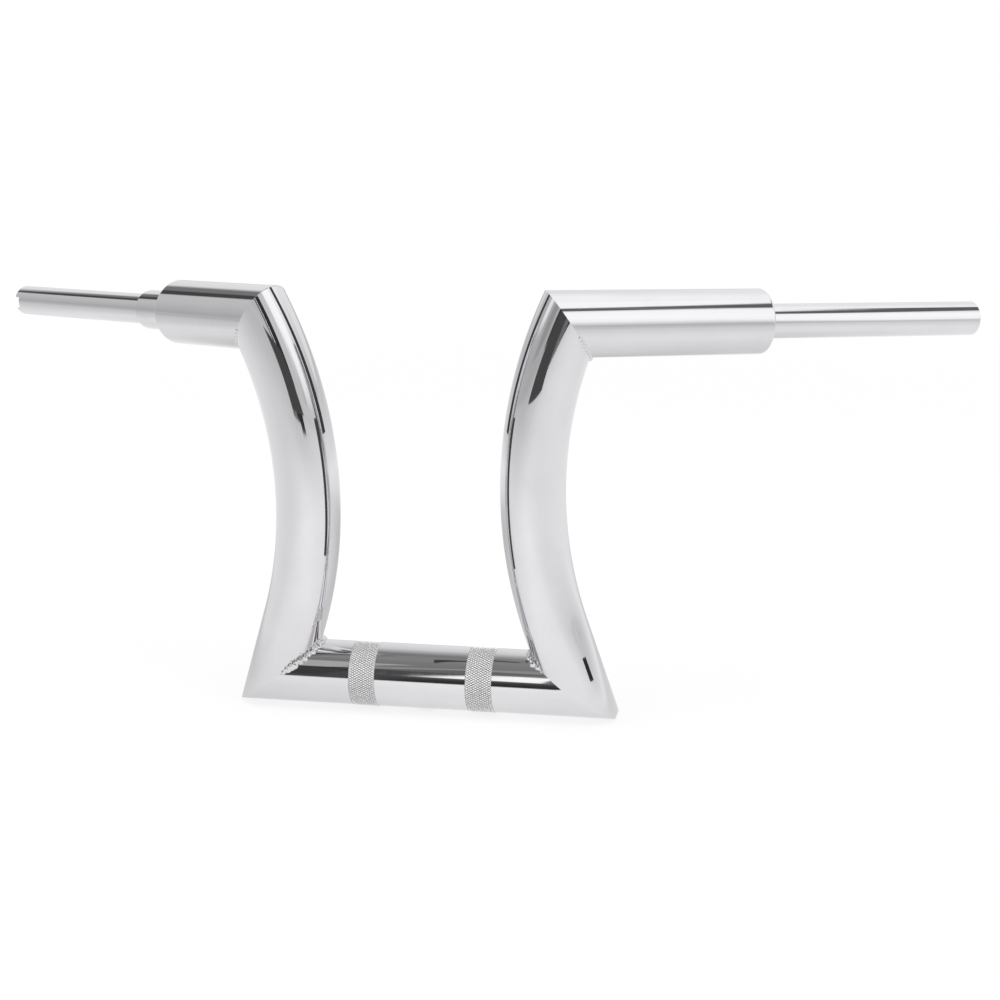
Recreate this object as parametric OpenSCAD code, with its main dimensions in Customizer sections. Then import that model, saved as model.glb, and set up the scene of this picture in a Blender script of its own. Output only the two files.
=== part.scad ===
// Ape hanger handlebar: a welded frame of fat mitred tubes with thin grip tubes.
// X runs along the clamp tube towards the clutch side, Y to the rider, Z up.
// The origin is the middle of the clamp tube's axis.

/* [Fat tubes] */
// Outside diameter of the clamp tube, the risers and the shoulders
fat_d = 47.6; // [40:0.1:51]
// Wall of the fat tubes
fat_wall = 3; // [2:0.1:5]

/* [Clamp tube] */
// Distance between the riser axes where they meet the clamp tube's axis
clamp_span = 227; // [210:1:300]
// Distance between the middles of the two knurled clamp bands
band_pitch = 88.9; // [60:0.1:110]
// Width of each knurled clamp band
band_w = 20; // [12:0.5:28]
// Height of the knurl's crests above the tube
band_rise = 0.3; // [0.1:0.05:0.5]
// Diameter of the wiring exit under the middle of the clamp tube
exit_d = 19; // [10:0.5:24]

/* [Risers] */
// Straight length of a riser above the clamp tube's axis
riser_foot = 45.5; // [42:0.5:70]
// Radius of the riser's bend, measured to its axis
riser_bend_r = 328; // [220:1:500]
// Inward lean of the riser at its foot, from vertical
foot_lean = 17.5; // [8:0.5:24]
// Outward lean of the riser at its head, from vertical
head_lean = 23.5; // [12:0.5:32]
// Radius ground on the sharp outer corner of each foot mitre
corner_r = 4; // [1:0.5:5]

/* [Shoulders] */
// Backward sweep of the shoulders and grips, seen from above
sweep = 35; // [15:1:45]
// Downward slope of the shoulders and grips
droop = 6; // [0:0.5:12]
// Length of the clutch shoulder, from the riser's axis to its end
clutch_shoulder_len = 155; // [120:1:200]
// Length of the throttle shoulder, from the riser's axis to its end
throttle_shoulder_len = 102; // [80:1:160]
// Thickness of the turned end plugs
plug_t = 14; // [8:0.5:24]
// Chamfer round the outer edge of each end plug and shoulder end
end_chamfer = 0.8; // [0.3:0.1:1.5]

/* [Grip tubes] */
// Outside diameter of the clutch grip tube
clutch_grip_d = 25.4; // [22:0.1:27]
// Length of the clutch grip tube outside its shoulder
clutch_grip_len = 186; // [166:1:230]
// Outside diameter of the throttle grip tube
throttle_grip_d = 23; // [21:0.1:25]
// Length of the throttle grip tube outside its collar
throttle_grip_len = 184; // [160:1:230]
// Wall of the clutch grip tube at its free end
clutch_grip_wall = 3.2; // [1.5:0.1:4]
// Wall of the throttle grip tube at its free end
throttle_grip_wall = 2; // [1.5:0.1:3]
// Depth of the grip tubes inside the shoulders, past the end face
grip_insert = 24; // [20:1:40]
// Step down from a grip tube's outside to the spigot that sits in its plug
spigot_step = 0.75; // [0.3:0.05:1]
// Depth of the reamed bore in a grip tube's free end
end_bore_len = 60; // [30:1:60]
// Step down from the reamed bore to the passage behind it
bore_step = 0.5; // [0.2:0.1:1]
// Outside diameter of the collar on the throttle side
collar_d = 29.5; // [27:0.1:34]
// Length of the collar on the throttle side
collar_len = 40; // [20:1:60]
// Chamfer at the free ends of the grip tubes and the collar
tip_chamfer = 0.8; // [0.3:0.1:1.2]

/* [Throttle end notches] */
// Width of the two notches in the throttle grip's free end
notch_w = 9; // [5:0.5:12]
// Depth of those notches
notch_depth = 6; // [3:0.5:12]

/* [Wiring slots] */
// Width of the round-ended slots under the grips
slot_w = 9; // [6:0.5:12]
// Length of each slot under the throttle grip
throttle_slot_len = 28; // [16:1:40]
// Gap between the two slots under the throttle grip
throttle_slot_gap = 8; // [4:0.5:20]
// Distance from the collar to the nearer slot
throttle_slot_inset = 14; // [8:1:30]
// Length of the slot under the clutch grip
clutch_slot_len = 20; // [14:1:38]
// Distance from the clutch shoulder's end to that slot
clutch_slot_inset = 84; // [12:1:100]

/* [Weld beads] */
// Radius of the bead in the crook at a riser's foot
foot_bead_r = 3.6; // [2.5:0.1:4.5]
// Half of the foot bead's sweep round the mitre, in degrees
foot_bead_half = 76; // [50:1:86]
// Radius of the bead in the crook at a riser's head
head_bead_r = 2.6; // [1.8:0.1:3.5]
// Half of the head bead's sweep round the mitre, in degrees
head_bead_half = 62; // [30:1:80]
// Distance between two ripples of a bead
ripple_pitch = 3.2; // [2:0.1:5]
// Height of a ripple, as a part of the bead's radius
ripple_depth = 0.09; // [0:0.01:0.15]

/* [Hidden] */

fat_r = fat_d / 2;
fat_bore_r = fat_r - fat_wall;
clutch_grip_r = clutch_grip_d / 2;
throttle_grip_r = throttle_grip_d / 2;
clutch_spigot_r = clutch_grip_r - spigot_step;
throttle_spigot_r = throttle_grip_r - spigot_step;
collar_r = collar_d / 2;

// Everything below is worked out on the clutch side, +X, and mirrored for the throttle side
foot_point = [clamp_span / 2, 0, 0];
foot_dir = [-sin(foot_lean), 0, cos(foot_lean)];
bend_start = foot_point + riser_foot * foot_dir;
bend_centre = bend_start + riser_bend_r * [cos(foot_lean), 0, sin(foot_lean)];
head_point = bend_centre + riser_bend_r * [-cos(head_lean), 0, sin(head_lean)];
head_dir = [sin(head_lean), 0, cos(head_lean)];
arm_dir = [cos(droop) * cos(sweep), cos(droop) * sin(sweep), -sin(droop)];

// Unit vector along v
function unit(v) = v / norm(v);
clamp_dir = [1, 0, 0];
// The mitre planes halve the angle between the tubes that meet there
foot_mitre = unit(clamp_dir + foot_dir);
head_mitre = unit(head_dir + arm_dir);

// Into the foot's crook, half of the angle between its two tubes, and the mitre ellipse's half
foot_crook = unit(foot_dir - clamp_dir);
foot_half = acos(foot_dir * -clamp_dir) / 2;
foot_reach = fat_r / sin(foot_half);
// The corner's radius leaves wall behind it, and its axis touches both tubes' outer lines
corner = min(corner_r, 2 * fat_wall);
corner_centre = foot_point + (corner / sin(foot_half) - foot_reach) * foot_crook;

// Length by which a tube runs past a mitre before it is trimmed
overrun = 2 * fat_r;
// Side of the block that trims a tube at a mitre
trim = 6 * fat_r;
// Bend angle that runs past the head before the mitre
bend_overrun = overrun / riser_bend_r * 180 / PI;
// Clearance by which a cutter passes the faces it cuts
cut = 1;
steel = [0.82, 0.83, 0.85];
satin = [0.70, 0.71, 0.73];

// Turns +Z to the direction v and moves the origin to p
module aim(p, v) {
    translate(p) rotate([0, acos(v[2] / norm(v)), atan2(v[1], v[0])]) children();
}

// Block that removes everything past the plane through p with normal v
module trim_past(p, v) {
    aim(p, v) translate([-trim / 2, -trim / 2, 0]) cube(trim);
}

// What grinding takes off the clutch-side foot's outer corner: all beyond a round along Y
module foot_grind() {
    difference() {
        trim_past(corner_centre - corner * sin(foot_half) * foot_crook, -foot_crook);
        translate(corner_centre) rotate([90, 0, 0]) cylinder(r = corner, h = trim, center = true, $fn = 64);
    }
}

// Straight tube from z0 to z1 on the Z axis
module pipe(r_out, r_in, z0, z1) {
    translate([0, 0, z0]) difference() {
        cylinder(r = r_out, h = z1 - z0, $fn = 96);
        translate([0, 0, -cut]) cylinder(r = r_in, h = z1 - z0 + 2 * cut, $fn = 96);
    }
}

// Turned ring or tube from z0 to z1 with a chamfer round its outer edge at z1
module turned(r_out, r_in, z0, z1, chamfer) {
    rotate_extrude($fn = 96)
        polygon([[r_in, z0], [r_out, z0], [r_out, z1 - chamfer], [r_out - chamfer, z1], [r_in, z1]]);
}

// Round-ended slot through the lower wall of an arm, from z0 to z1 along it: aim() tips
// +Z over +X, so the arm's lower side is its +X side
module arm_slot(z0, z1, reach) {
    r = slot_w / 2;
    translate([0, 0, z0 + r]) rotate([0, 90, 0]) {
        cylinder(r = r, h = reach, $fn = 48);
        translate([-(z1 - z0 - slot_w), 0, 0]) cylinder(r = r, h = reach, $fn = 48);
        translate([-(z1 - z0 - slot_w), -r, 0]) cube([z1 - z0 - slot_w, slot_w, reach]);
    }
}

module knurl_band(x) {
    translate([x, 0, 0]) rotate([0, 90, 0])
        translate([0, 0, -band_w / 2]) cylinder(r = fat_r + band_rise, h = band_w, $fn = 96);
}

module clamp_tube() {
    half = clamp_span / 2 + overrun;
    color(steel) difference() {
        union() {
            rotate([0, 90, 0]) translate([0, 0, -half]) cylinder(r = fat_r, h = 2 * half, $fn = 96);
            knurl_band(-band_pitch / 2);
            knurl_band(band_pitch / 2);
        }
        rotate([0, 90, 0]) translate([0, 0, -half - cut])
            cylinder(r = fat_bore_r, h = 2 * (half + cut), $fn = 96);
        translate([0, 0, -fat_d]) cylinder(d = exit_d, h = fat_d, $fn = 64);
        trim_past(foot_point, foot_mitre);
        mirror([1, 0, 0]) trim_past(foot_point, foot_mitre);
        foot_grind();
        mirror([1, 0, 0]) foot_grind();
    }
}

// The riser's own frame: the bend turns about its Z axis and starts at its +X axis
module in_bend_frame() {
    translate(bend_centre) rotate([0, 180 - foot_lean, 0]) rotate([-90, 0, 0]) children();
}

// The clutch-side riser: a straight foot and a bend, mitred at both ends
module riser() {
    difference() {
        in_bend_frame() union() {
            translate([riser_bend_r, 0, 0]) rotate([90, 0, 0])
                pipe(fat_r, fat_bore_r, 0, riser_foot + overrun);
            rotate_extrude(angle = foot_lean + head_lean + bend_overrun, $fn = 180)
                translate([riser_bend_r, 0]) difference() {
                    circle(r = fat_r, $fn = 96);
                    circle(r = fat_bore_r, $fn = 96);
                }
        }
        trim_past(foot_point, -foot_mitre);
        trim_past(head_point, head_mitre);
        foot_grind();
    }
}

// A shoulder: mitred on the riser's head, square and chamfered at its outer end
module shoulder(length) {
    difference() {
        aim(head_point, arm_dir) turned(fat_r, fat_bore_r, -overrun, length, end_chamfer);
        trim_past(head_point, -head_mitre);
    }
}

// A turned plug that closes a shoulder round its grip tube
module end_plug(length, bore_r) {
    aim(head_point, arm_dir)
        turned(fat_bore_r, bore_r, length - plug_t, length, end_chamfer);
}

// A grip tube: its spigot starts at z0 and seats at z_seat, and its free end is at z1
module grip_tube(r, wall, z0, z_seat, z1) {
    bore = r - wall;
    passage = bore - bore_step;
    spigot = r - spigot_step;
    step = z1 - end_bore_len;
    rotate_extrude($fn = 96) polygon([
        [passage, z0], [spigot, z0], [spigot, z_seat], [r, z_seat], [r, z1 - tip_chamfer],
        [r - tip_chamfer, z1], [bore, z1], [bore, step], [passage, step]]);
}

// Sides of a bead's section
bead_sides = 8;

// A rippled bead along the inner part of a mitre: p is the mitre's centre, in the plane of the
// unit vectors m, which points into the crook, and s, the mitre ellipse's other axis
module bead(p, m, s, a, b, r, half) {
    span = half * PI / 90 * (a + b) / 2;
    rings = 2 * ceil(span / ripple_pitch);
    skin = [for (i = [0:rings])
        let (t = -half + 2 * half * i / rings,
             c = p + a * cos(t) * m + b * sin(t) * s,
             along = unit(-a * sin(t) * m + b * cos(t) * s),
             out = unit(a * cos(t) * m + b * sin(t) * s),
             side = cross(along, out),
             end_taper = min(1, 0.45 + 0.55 * min(i, rings - i) / 2),
             q = r * end_taper * (1 + ripple_depth * (i % 2 == 0 ? -1 : 1)))
        for (k = [0:bead_sides - 1])
            let (turn = 360 * (k + 0.5) / bead_sides)
            c + q * (cos(turn) * out + sin(turn) * side)];
    n = bead_sides;
    polyhedron(points = skin, faces = concat(
        [[for (k = [0:n - 1]) k]],
        [[for (k = [n - 1:-1:0]) rings * n + k]],
        [for (i = [0:rings - 1]) for (k = [0:n - 1])
            [i * n + k, (i + 1) * n + k, (i + 1) * n + (k + 1) % n]],
        [for (i = [0:rings - 1]) for (k = [0:n - 1])
            [i * n + k, (i + 1) * n + (k + 1) % n, i * n + (k + 1) % n]]));
}

// The bead at a riser's foot, trimmed to the two tubes that it joins
module foot_weld() {
    difference() {
        bead(foot_point, foot_crook, [0, 1, 0], foot_reach, fat_r, foot_bead_r, foot_bead_half);
        rotate([0, 90, 0]) cylinder(r = fat_r, h = clamp_span / 2 + overrun, $fn = 96);
        aim(foot_point, foot_dir) translate([0, 0, -overrun])
            cylinder(r = fat_r, h = overrun + riser_foot, $fn = 96);
    }
}

// The bead at a riser's head, trimmed to the shoulder and the riser's bend
module head_weld() {
    m = unit(arm_dir - head_dir);
    s = unit(cross(head_dir, arm_dir));
    a = fat_r / sin(acos(-head_dir * arm_dir) / 2);
    difference() {
        bead(head_point, m, s, a, fat_r, head_bead_r, head_bead_half);
        aim(head_point, arm_dir) translate([0, 0, -overrun])
            cylinder(r = fat_r, h = 2 * overrun, $fn = 96);
        in_bend_frame() rotate([0, 0, foot_lean + head_lean - bend_overrun])
            rotate_extrude(angle = 2 * bend_overrun, $fn = 180)
            translate([riser_bend_r, 0]) circle(r = fat_r, $fn = 96);
    }
}

module throttle_side() mirror([1, 0, 0]) children();

module throttle_riser() color(steel) throttle_side() riser();
module clutch_riser() color(steel) riser();
module throttle_shoulder() color(steel) throttle_side() shoulder(throttle_shoulder_len);
module clutch_shoulder() color(steel) shoulder(clutch_shoulder_len);
module throttle_end_plug() color(steel)
    throttle_side() end_plug(throttle_shoulder_len, throttle_spigot_r);
module clutch_end_plug() color(steel) end_plug(clutch_shoulder_len, clutch_spigot_r);

module throttle_collar() color(steel) throttle_side() aim(head_point, arm_dir)
    turned(collar_r, throttle_spigot_r, throttle_shoulder_len,
           throttle_shoulder_len + collar_len, tip_chamfer);

module throttle_grip_tube() {
    start = throttle_shoulder_len + collar_len;
    tip = start + throttle_grip_len;
    slot_1 = start + throttle_slot_inset;
    slot_2 = slot_1 + throttle_slot_len + throttle_slot_gap;
    color(steel) throttle_side() aim(head_point, arm_dir) difference() {
        grip_tube(throttle_grip_r, throttle_grip_wall,
                  throttle_shoulder_len - grip_insert, start, tip);
        translate([-notch_w / 2, -throttle_grip_d, tip - notch_depth])
            cube([notch_w, 2 * throttle_grip_d, notch_depth + cut]);
        arm_slot(slot_1, slot_1 + throttle_slot_len, throttle_grip_d);
        arm_slot(slot_2, slot_2 + throttle_slot_len, throttle_grip_d);
    }
}

module clutch_grip_tube() {
    slot = clutch_shoulder_len + clutch_slot_inset;
    color(steel) aim(head_point, arm_dir) difference() {
        grip_tube(clutch_grip_r, clutch_grip_wall, clutch_shoulder_len - grip_insert,
                  clutch_shoulder_len, clutch_shoulder_len + clutch_grip_len);
        arm_slot(slot, slot + clutch_slot_len, clutch_grip_d);
    }
}

module throttle_foot_weld() color(satin) throttle_side() foot_weld();
module clutch_foot_weld() color(satin) foot_weld();
module throttle_head_weld() color(satin) throttle_side() head_weld();
module clutch_head_weld() color(satin) head_weld();

clamp_tube();
throttle_riser();
clutch_riser();
throttle_shoulder();
clutch_shoulder();
throttle_end_plug();
clutch_end_plug();
throttle_collar();
throttle_grip_tube();
clutch_grip_tube();
throttle_foot_weld();
clutch_foot_weld();
throttle_head_weld();
clutch_head_weld();
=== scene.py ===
"""Ape hanger handlebar: the looks of a chromed weldment of fat mitred tubes.

Lengths are in metres. X runs along the clamp tube towards the clutch side, Y to the rider and
Z up. The origin is the middle of the clamp tube's axis. Every tube is shaped on the clutch side
or about Z, then laid in its place, and mirrored where it belongs to the throttle side.
"""

import logging
import math
from dataclasses import dataclass
from enum import Enum
from typing import Callable, Dict, List, Optional, Sequence, Tuple, Union

import bmesh
import bpy
from mathutils import Matrix, Vector


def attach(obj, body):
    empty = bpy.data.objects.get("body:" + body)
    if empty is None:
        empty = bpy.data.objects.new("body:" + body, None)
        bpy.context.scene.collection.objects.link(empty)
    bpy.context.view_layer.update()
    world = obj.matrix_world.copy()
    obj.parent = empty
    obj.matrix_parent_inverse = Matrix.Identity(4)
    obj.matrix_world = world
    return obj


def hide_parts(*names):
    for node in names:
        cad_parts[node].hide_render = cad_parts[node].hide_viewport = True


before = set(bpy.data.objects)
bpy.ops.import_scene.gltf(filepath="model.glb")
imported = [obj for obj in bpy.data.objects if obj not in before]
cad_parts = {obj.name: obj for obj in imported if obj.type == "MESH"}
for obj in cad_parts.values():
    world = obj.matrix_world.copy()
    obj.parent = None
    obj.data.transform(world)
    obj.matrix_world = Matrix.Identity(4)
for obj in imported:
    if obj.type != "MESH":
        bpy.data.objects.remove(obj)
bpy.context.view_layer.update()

LOG = logging.getLogger("handlebar")
BODY = "root"
MM = 0.001
ROUND_SIDES = 128
MERGE_DISTANCE = 1e-6
PLANE_TOLERANCE = 2e-6

Number = Union[int, float]
Point = Union[Vector, Sequence[float]]


# Shared sizes and directions


class Side(Enum):
    """The two ends of the bar: the throttle side is -X, the clutch side +X."""

    THROTTLE = -1
    CLUTCH = 1

    @property
    def label(self) -> str:
        """The side's name as the nodes spell it."""
        return self.name.lower()

    @property
    def mirror(self) -> Matrix:
        """The matrix that carries clutch-side geometry to this side."""
        return Matrix.Diagonal((float(self.value), 1.0, 1.0, 1.0))


@dataclass(frozen=True)
class BarLayout:
    """Sizes and directions that the tubes share, worked out on the clutch side."""

    fat_radius: float = 23.8 * MM
    fat_wall: float = 3.0 * MM
    clamp_span: float = 227.0 * MM
    riser_foot: float = 45.5 * MM
    bend_radius: float = 328.0 * MM
    foot_lean: float = math.radians(17.5)
    head_lean: float = math.radians(23.5)
    sweep: float = math.radians(35.0)
    droop: float = math.radians(6.0)
    corner_radius: float = 4.0 * MM

    @property
    def fat_bore(self) -> float:
        """Inner radius of the fat tubes."""
        return self.fat_radius - self.fat_wall

    @property
    def foot_point(self) -> Vector:
        """Where a riser's axis meets the clamp tube's."""
        return Vector((self.clamp_span / 2, 0.0, 0.0))

    @property
    def foot_dir(self) -> Vector:
        """Direction of a riser's axis at its foot."""
        return Vector((-math.sin(self.foot_lean), 0.0, math.cos(self.foot_lean)))

    @property
    def bend_start(self) -> Vector:
        """Where the riser's straight foot ends and its bend starts."""
        return self.foot_point + self.riser_foot * self.foot_dir

    @property
    def bend_centre(self) -> Vector:
        """Centre of the riser's bend."""
        out = Vector((math.cos(self.foot_lean), 0.0, math.sin(self.foot_lean)))
        return self.bend_start + self.bend_radius * out

    @property
    def head_point(self) -> Vector:
        """Where a riser's axis meets its shoulder's."""
        out = Vector((-math.cos(self.head_lean), 0.0, math.sin(self.head_lean)))
        return self.bend_centre + self.bend_radius * out

    @property
    def head_dir(self) -> Vector:
        """Direction of a riser's axis at its head."""
        return Vector((math.sin(self.head_lean), 0.0, math.cos(self.head_lean)))

    @property
    def arm_dir(self) -> Vector:
        """Direction of the shoulder and the grip tube."""
        flat = math.cos(self.droop)
        return Vector((flat * math.cos(self.sweep), flat * math.sin(self.sweep), -math.sin(self.droop)))

    @property
    def foot_mitre(self) -> Vector:
        """Normal of the mitre plane at a riser's foot."""
        return (Vector((1.0, 0.0, 0.0)) + self.foot_dir).normalized()

    @property
    def head_mitre(self) -> Vector:
        """Normal of the mitre plane at a riser's head."""
        return (self.head_dir + self.arm_dir).normalized()

    def corner_planes(self, towards: Vector, facets: int = 6) -> List[Tuple[Vector, Vector]]:
        """The planes that grind one half of a foot's outer corner round.

        Args:
            towards: the direction, square to the crook, of the half that is ground.
            facets: how many planes it takes.

        Returns:
            A point and an outward normal of each plane.
        """
        crook = (Vector((-1.0, 0.0, 0.0)) + self.foot_dir).normalized()
        half_angle = math.acos(-self.foot_dir.x) / 2
        tip = self.foot_point - self.fat_radius / math.sin(half_angle) * crook
        axis = tip + self.corner_radius / math.sin(half_angle) * crook
        span = math.pi / 2 - half_angle
        planes = []
        for step in range(facets):
            turn = span * (step + 0.5) / facets
            normal = -math.cos(turn) * crook + math.sin(turn) * towards
            planes.append((axis + self.corner_radius * normal, normal))
        return planes

    def arm_place(self) -> Matrix:
        """The place of an arm: its own +Z runs outwards and its own +X is its lower side."""
        way = self.arm_dir
        polar = math.acos(way.z)
        turn = math.atan2(way.y, way.x)
        return (Matrix.Translation(self.head_point)
                @ Matrix.Rotation(turn, 4, "Z") @ Matrix.Rotation(polar, 4, "Y"))


LAYOUT = BarLayout()


# Shader building


class Wire:
    """A shader socket that takes part in arithmetic."""

    def __init__(self, tree: "ShaderTree", socket: bpy.types.NodeSocket) -> None:
        """Holds one output socket of a tree.

        Args:
            tree: the tree that the socket belongs to.
            socket: an output socket, or the value that stands for one.
        """
        self.tree = tree
        self.socket = socket

    def _math(self, operation: str, *values: Union["Wire", Number]) -> "Wire":
        """One Math node on these values."""
        return self.tree.node("ShaderNodeMath", {"operation": operation}, dict(enumerate(values)))

    def __add__(self, other: Union["Wire", Number]) -> "Wire":
        """Sum."""
        return self._math("ADD", self, other)

    def __sub__(self, other: Union["Wire", Number]) -> "Wire":
        """Difference."""
        return self._math("SUBTRACT", self, other)

    def __rsub__(self, other: Number) -> "Wire":
        """Difference, reflected."""
        return self._math("SUBTRACT", other, self)

    def __mul__(self, other: Union["Wire", Number]) -> "Wire":
        """Product."""
        return self._math("MULTIPLY", self, other)

    def __pow__(self, other: Number) -> "Wire":
        """Power."""
        return self._math("POWER", self, other)

    def __neg__(self) -> "Wire":
        """The value with its sign turned."""
        return self._math("MULTIPLY", self, -1.0)

    def __truediv__(self, other: Union["Wire", Number]) -> "Wire":
        """Quotient."""
        return self._math("DIVIDE", self, other)

    def absolute(self) -> "Wire":
        """The value without its sign."""
        return self._math("ABSOLUTE", self)

    def wrapped(self, high: Number, low: Number) -> "Wire":
        """The value brought into low..high by whole turns."""
        return self._math("WRAP", self, high, low)

    def arcsine(self) -> "Wire":
        """The angle, in radians, whose sine this is."""
        return self._math("ARCSINE", self)

    def bearing(self, ahead: "Wire") -> "Wire":
        """The angle, in radians, of this value across and another one ahead."""
        return self._math("ARCTAN2", self, ahead)

    def band(self, low: Number, high: Number, start: Number = 0.0, end: Number = 1.0) -> "Wire":
        """This value mapped from low..high to start..end and held there.

        Args:
            low: value that gives start.
            high: value that gives end.
            start: result at low.
            end: result at high.

        Returns:
            The mapped value.
        """
        return self.tree.node("ShaderNodeMapRange", {"clamp": True},
                              {"Value": self, "From Min": low, "From Max": high,
                               "To Min": start, "To Max": end})


class ShaderTree:
    """A node tree that is written as expressions."""

    def __init__(self, tree: bpy.types.NodeTree) -> None:
        """Empties the tree and takes it over."""
        self.tree = tree
        tree.nodes.clear()

    @classmethod
    def of_material(cls, name: str) -> Tuple[bpy.types.Material, "ShaderTree"]:
        """A new material and its emptied tree."""
        material = bpy.data.materials.new(name)
        material.use_nodes = True
        return material, cls(material.node_tree)

    def surface(self, shader: Wire) -> None:
        """Makes a shader the material's surface."""
        self.node("ShaderNodeOutputMaterial", {}, {0: shader})

    def node(self, kind: str, settings: Optional[Dict[str, object]] = None,
             values: Optional[Dict[Union[int, str], object]] = None,
             out: Union[int, str] = 0) -> Wire:
        """Adds a node.

        Args:
            kind: the node's type.
            settings: its properties, or a ramp's stops under "stops".
            values: what goes into its sockets, by name or number: wires or plain values.
            out: the output that is wanted, by name or number.

        Returns:
            That output, or the first one.
        """
        made = self.tree.nodes.new(kind)
        for name, value in (settings or {}).items():
            if name == "stops":
                self._fill_ramp(made.color_ramp, value)
            else:
                setattr(made, name, value)
        for key, value in (values or {}).items():
            if isinstance(value, Wire):
                self.tree.links.new(value.socket, made.inputs[key])
            else:
                made.inputs[key].default_value = value
        return Wire(self, made.outputs[out]) if len(made.outputs) else Wire(self, made)

    @staticmethod
    def _fill_ramp(ramp: bpy.types.ColorRamp, stops: Sequence[Tuple[float, Sequence[float]]]) -> None:
        """Sets a ramp's stops.

        Args:
            ramp: the ramp, which starts with two stops.
            stops: place and colour of each stop.
        """
        while len(ramp.elements) < len(stops):
            ramp.elements.new(1.0)
        for element, (place, colour) in zip(ramp.elements, stops):
            element.position = place
            element.color = colour

    def mix_colour(self, amount: Union[Wire, Number], first: object, second: object) -> Wire:
        """Blends two colours.

        Args:
            amount: 0 gives first and 1 gives second.
            first: a colour or its wire.
            second: a colour or its wire.

        Returns:
            The blended colour.
        """
        return self.node("ShaderNodeMix", {"data_type": "RGBA"}, {0: amount, 6: first, 7: second}, out=2)

    def coordinates(self, place: Optional[Matrix] = None) -> Wire:
        """Object coordinates, taken to the frame of a placed piece.

        Args:
            place: the piece's place; left out, the object's own coordinates are given.

        Returns:
            The coordinates.
        """
        here = self.node("ShaderNodeTexCoord", out="Object")
        if place is None:
            return here
        back = place.inverted()
        return self.node("ShaderNodeMapping", {"vector_type": "POINT"},
                         {"Vector": here, "Location": back.to_translation(),
                          "Rotation": back.to_euler()})

    def parts(self, vector: Wire) -> Tuple[Wire, Wire, Wire]:
        """The three parts of a vector."""
        split = self.node("ShaderNodeSeparateXYZ", {}, {0: vector})
        outputs = split.socket.node.outputs
        return Wire(self, outputs[0]), Wire(self, outputs[1]), Wire(self, outputs[2])

    def tone_curve(self, value: Wire, low: float, high: float,
                   stops: Sequence[Tuple[float, float]], brightest: float = 1.0) -> Wire:
        """A grey that follows a value through some stops.

        Args:
            value: what it follows.
            low: the value at the curve's start.
            high: the value at its end.
            stops: values and their tones.
            brightest: the tone that the curve gives as 1.

        Returns:
            The grey, as a colour.
        """
        marks = [((at - low) / (high - low), (*[tone / brightest] * 3, 1.0)) for at, tone in stops]
        return self.node("ShaderNodeValToRGB", {"stops": marks}, {0: value.band(low, high)})

    def stretched(self, where: Wire, scale: Sequence[float]) -> Wire:
        """Coordinates stretched by a scale along each axis."""
        return self.node("ShaderNodeVectorMath", {"operation": "MULTIPLY"}, {0: where, 1: tuple(scale)})

    def noise(self, where: Wire, scale: float, detail: float = 3.0, rough: float = 0.5) -> Wire:
        """Noise from 0 to 1, centred on a half.

        Args:
            where: the coordinates.
            scale: patches per metre.
            detail: how many finer octaves it has.
            rough: how strong they are.

        Returns:
            The noise's value.
        """
        return self.node("ShaderNodeTexNoise", {"noise_dimensions": "3D"},
                         {"Vector": where, "Scale": scale, "Detail": detail, "Roughness": rough})

    def bump(self, height: Wire, depth: float, below: Optional[Wire] = None) -> Wire:
        """A bump of a real depth.

        Args:
            height: the height, from 0 to 1.
            depth: what a height of 1 stands for, in metres.
            below: a bump that this one lies on.

        Returns:
            The bumped normal.
        """
        values: Dict[Union[int, str], object] = {"Height": height, "Distance": depth, "Strength": 1.0}
        if below is not None:
            values["Normal"] = below
        return self.node("ShaderNodeBump", {}, values)


# Finishes


@dataclass(frozen=True)
class ChromeFinish:
    """Chrome plate: its tone, how well it is polished, and the marks that polishing left."""

    name: str
    tone: Tuple[float, float, float] = (0.80, 0.79, 0.811)
    haze_tone: Tuple[float, float, float] = (0.76, 0.752, 0.772)
    roughness: float = 0.045
    haze_roughness: float = 0.11
    ripple_depth: float = 0.00002
    ripple_scale: float = 22.0
    turning_depth: float = 0.0
    turning_pitch: float = 0.0011
    grain_depth: float = 0.0000008
    cloud_scale: float = 34.0
    wipe_scale: float = 520.0
    wipe_stretch: float = 0.12
    speck_scale: float = 900.0
    coords: Optional[Matrix] = None

    def build(self) -> bpy.types.Material:
        """Makes the material.

        Returns:
            The chrome, with a soft waviness, cloudy haze, fine wipe marks and, where the piece
            was turned, faint rings round its axis.
        """
        material, tree = ShaderTree.of_material(self.name)
        where = tree.coordinates(self.coords)
        cloud = tree.noise(where, self.cloud_scale, 4.0, 0.6).band(0.42, 0.72)
        wiped = tree.noise(tree.stretched(where, (1.0, 1.0, self.wipe_stretch)), self.wipe_scale, 2.0, 0.5)
        speck = tree.noise(where, self.speck_scale, 1.0).band(0.70, 0.78)
        haze = (cloud * 0.6 + wiped.band(0.5, 0.8) * cloud * 0.6 + speck * 0.35).band(0.0, 1.0)
        colour = tree.mix_colour(haze, (*self.tone, 1.0), (*self.haze_tone, 1.0))
        rough = haze.band(0.0, 1.0, self.roughness, self.haze_roughness)
        normal = tree.bump(tree.noise(where, self.ripple_scale, 1.0, 0.3), self.ripple_depth)
        if self.turning_depth > 0.0:
            height = tree.node("ShaderNodeSeparateXYZ", {}, {0: where}, out=2)
            wander = tree.noise(where, 60.0, 2.0) * 0.6
            rings = tree.node("ShaderNodeMath", {"operation": "SINE"},
                              {0: height * (2.0 * math.pi / self.turning_pitch) + wander * 6.0})
            normal = tree.bump(rings.band(-1.0, 1.0), self.turning_depth, normal)
        normal = tree.bump(wiped, self.grain_depth, normal)
        shader = tree.node("ShaderNodeBsdfPrincipled", {},
                           {"Base Color": colour, "Metallic": 1.0, "Roughness": rough,
                            "Normal": normal})
        tree.surface(shader)
        return material


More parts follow.
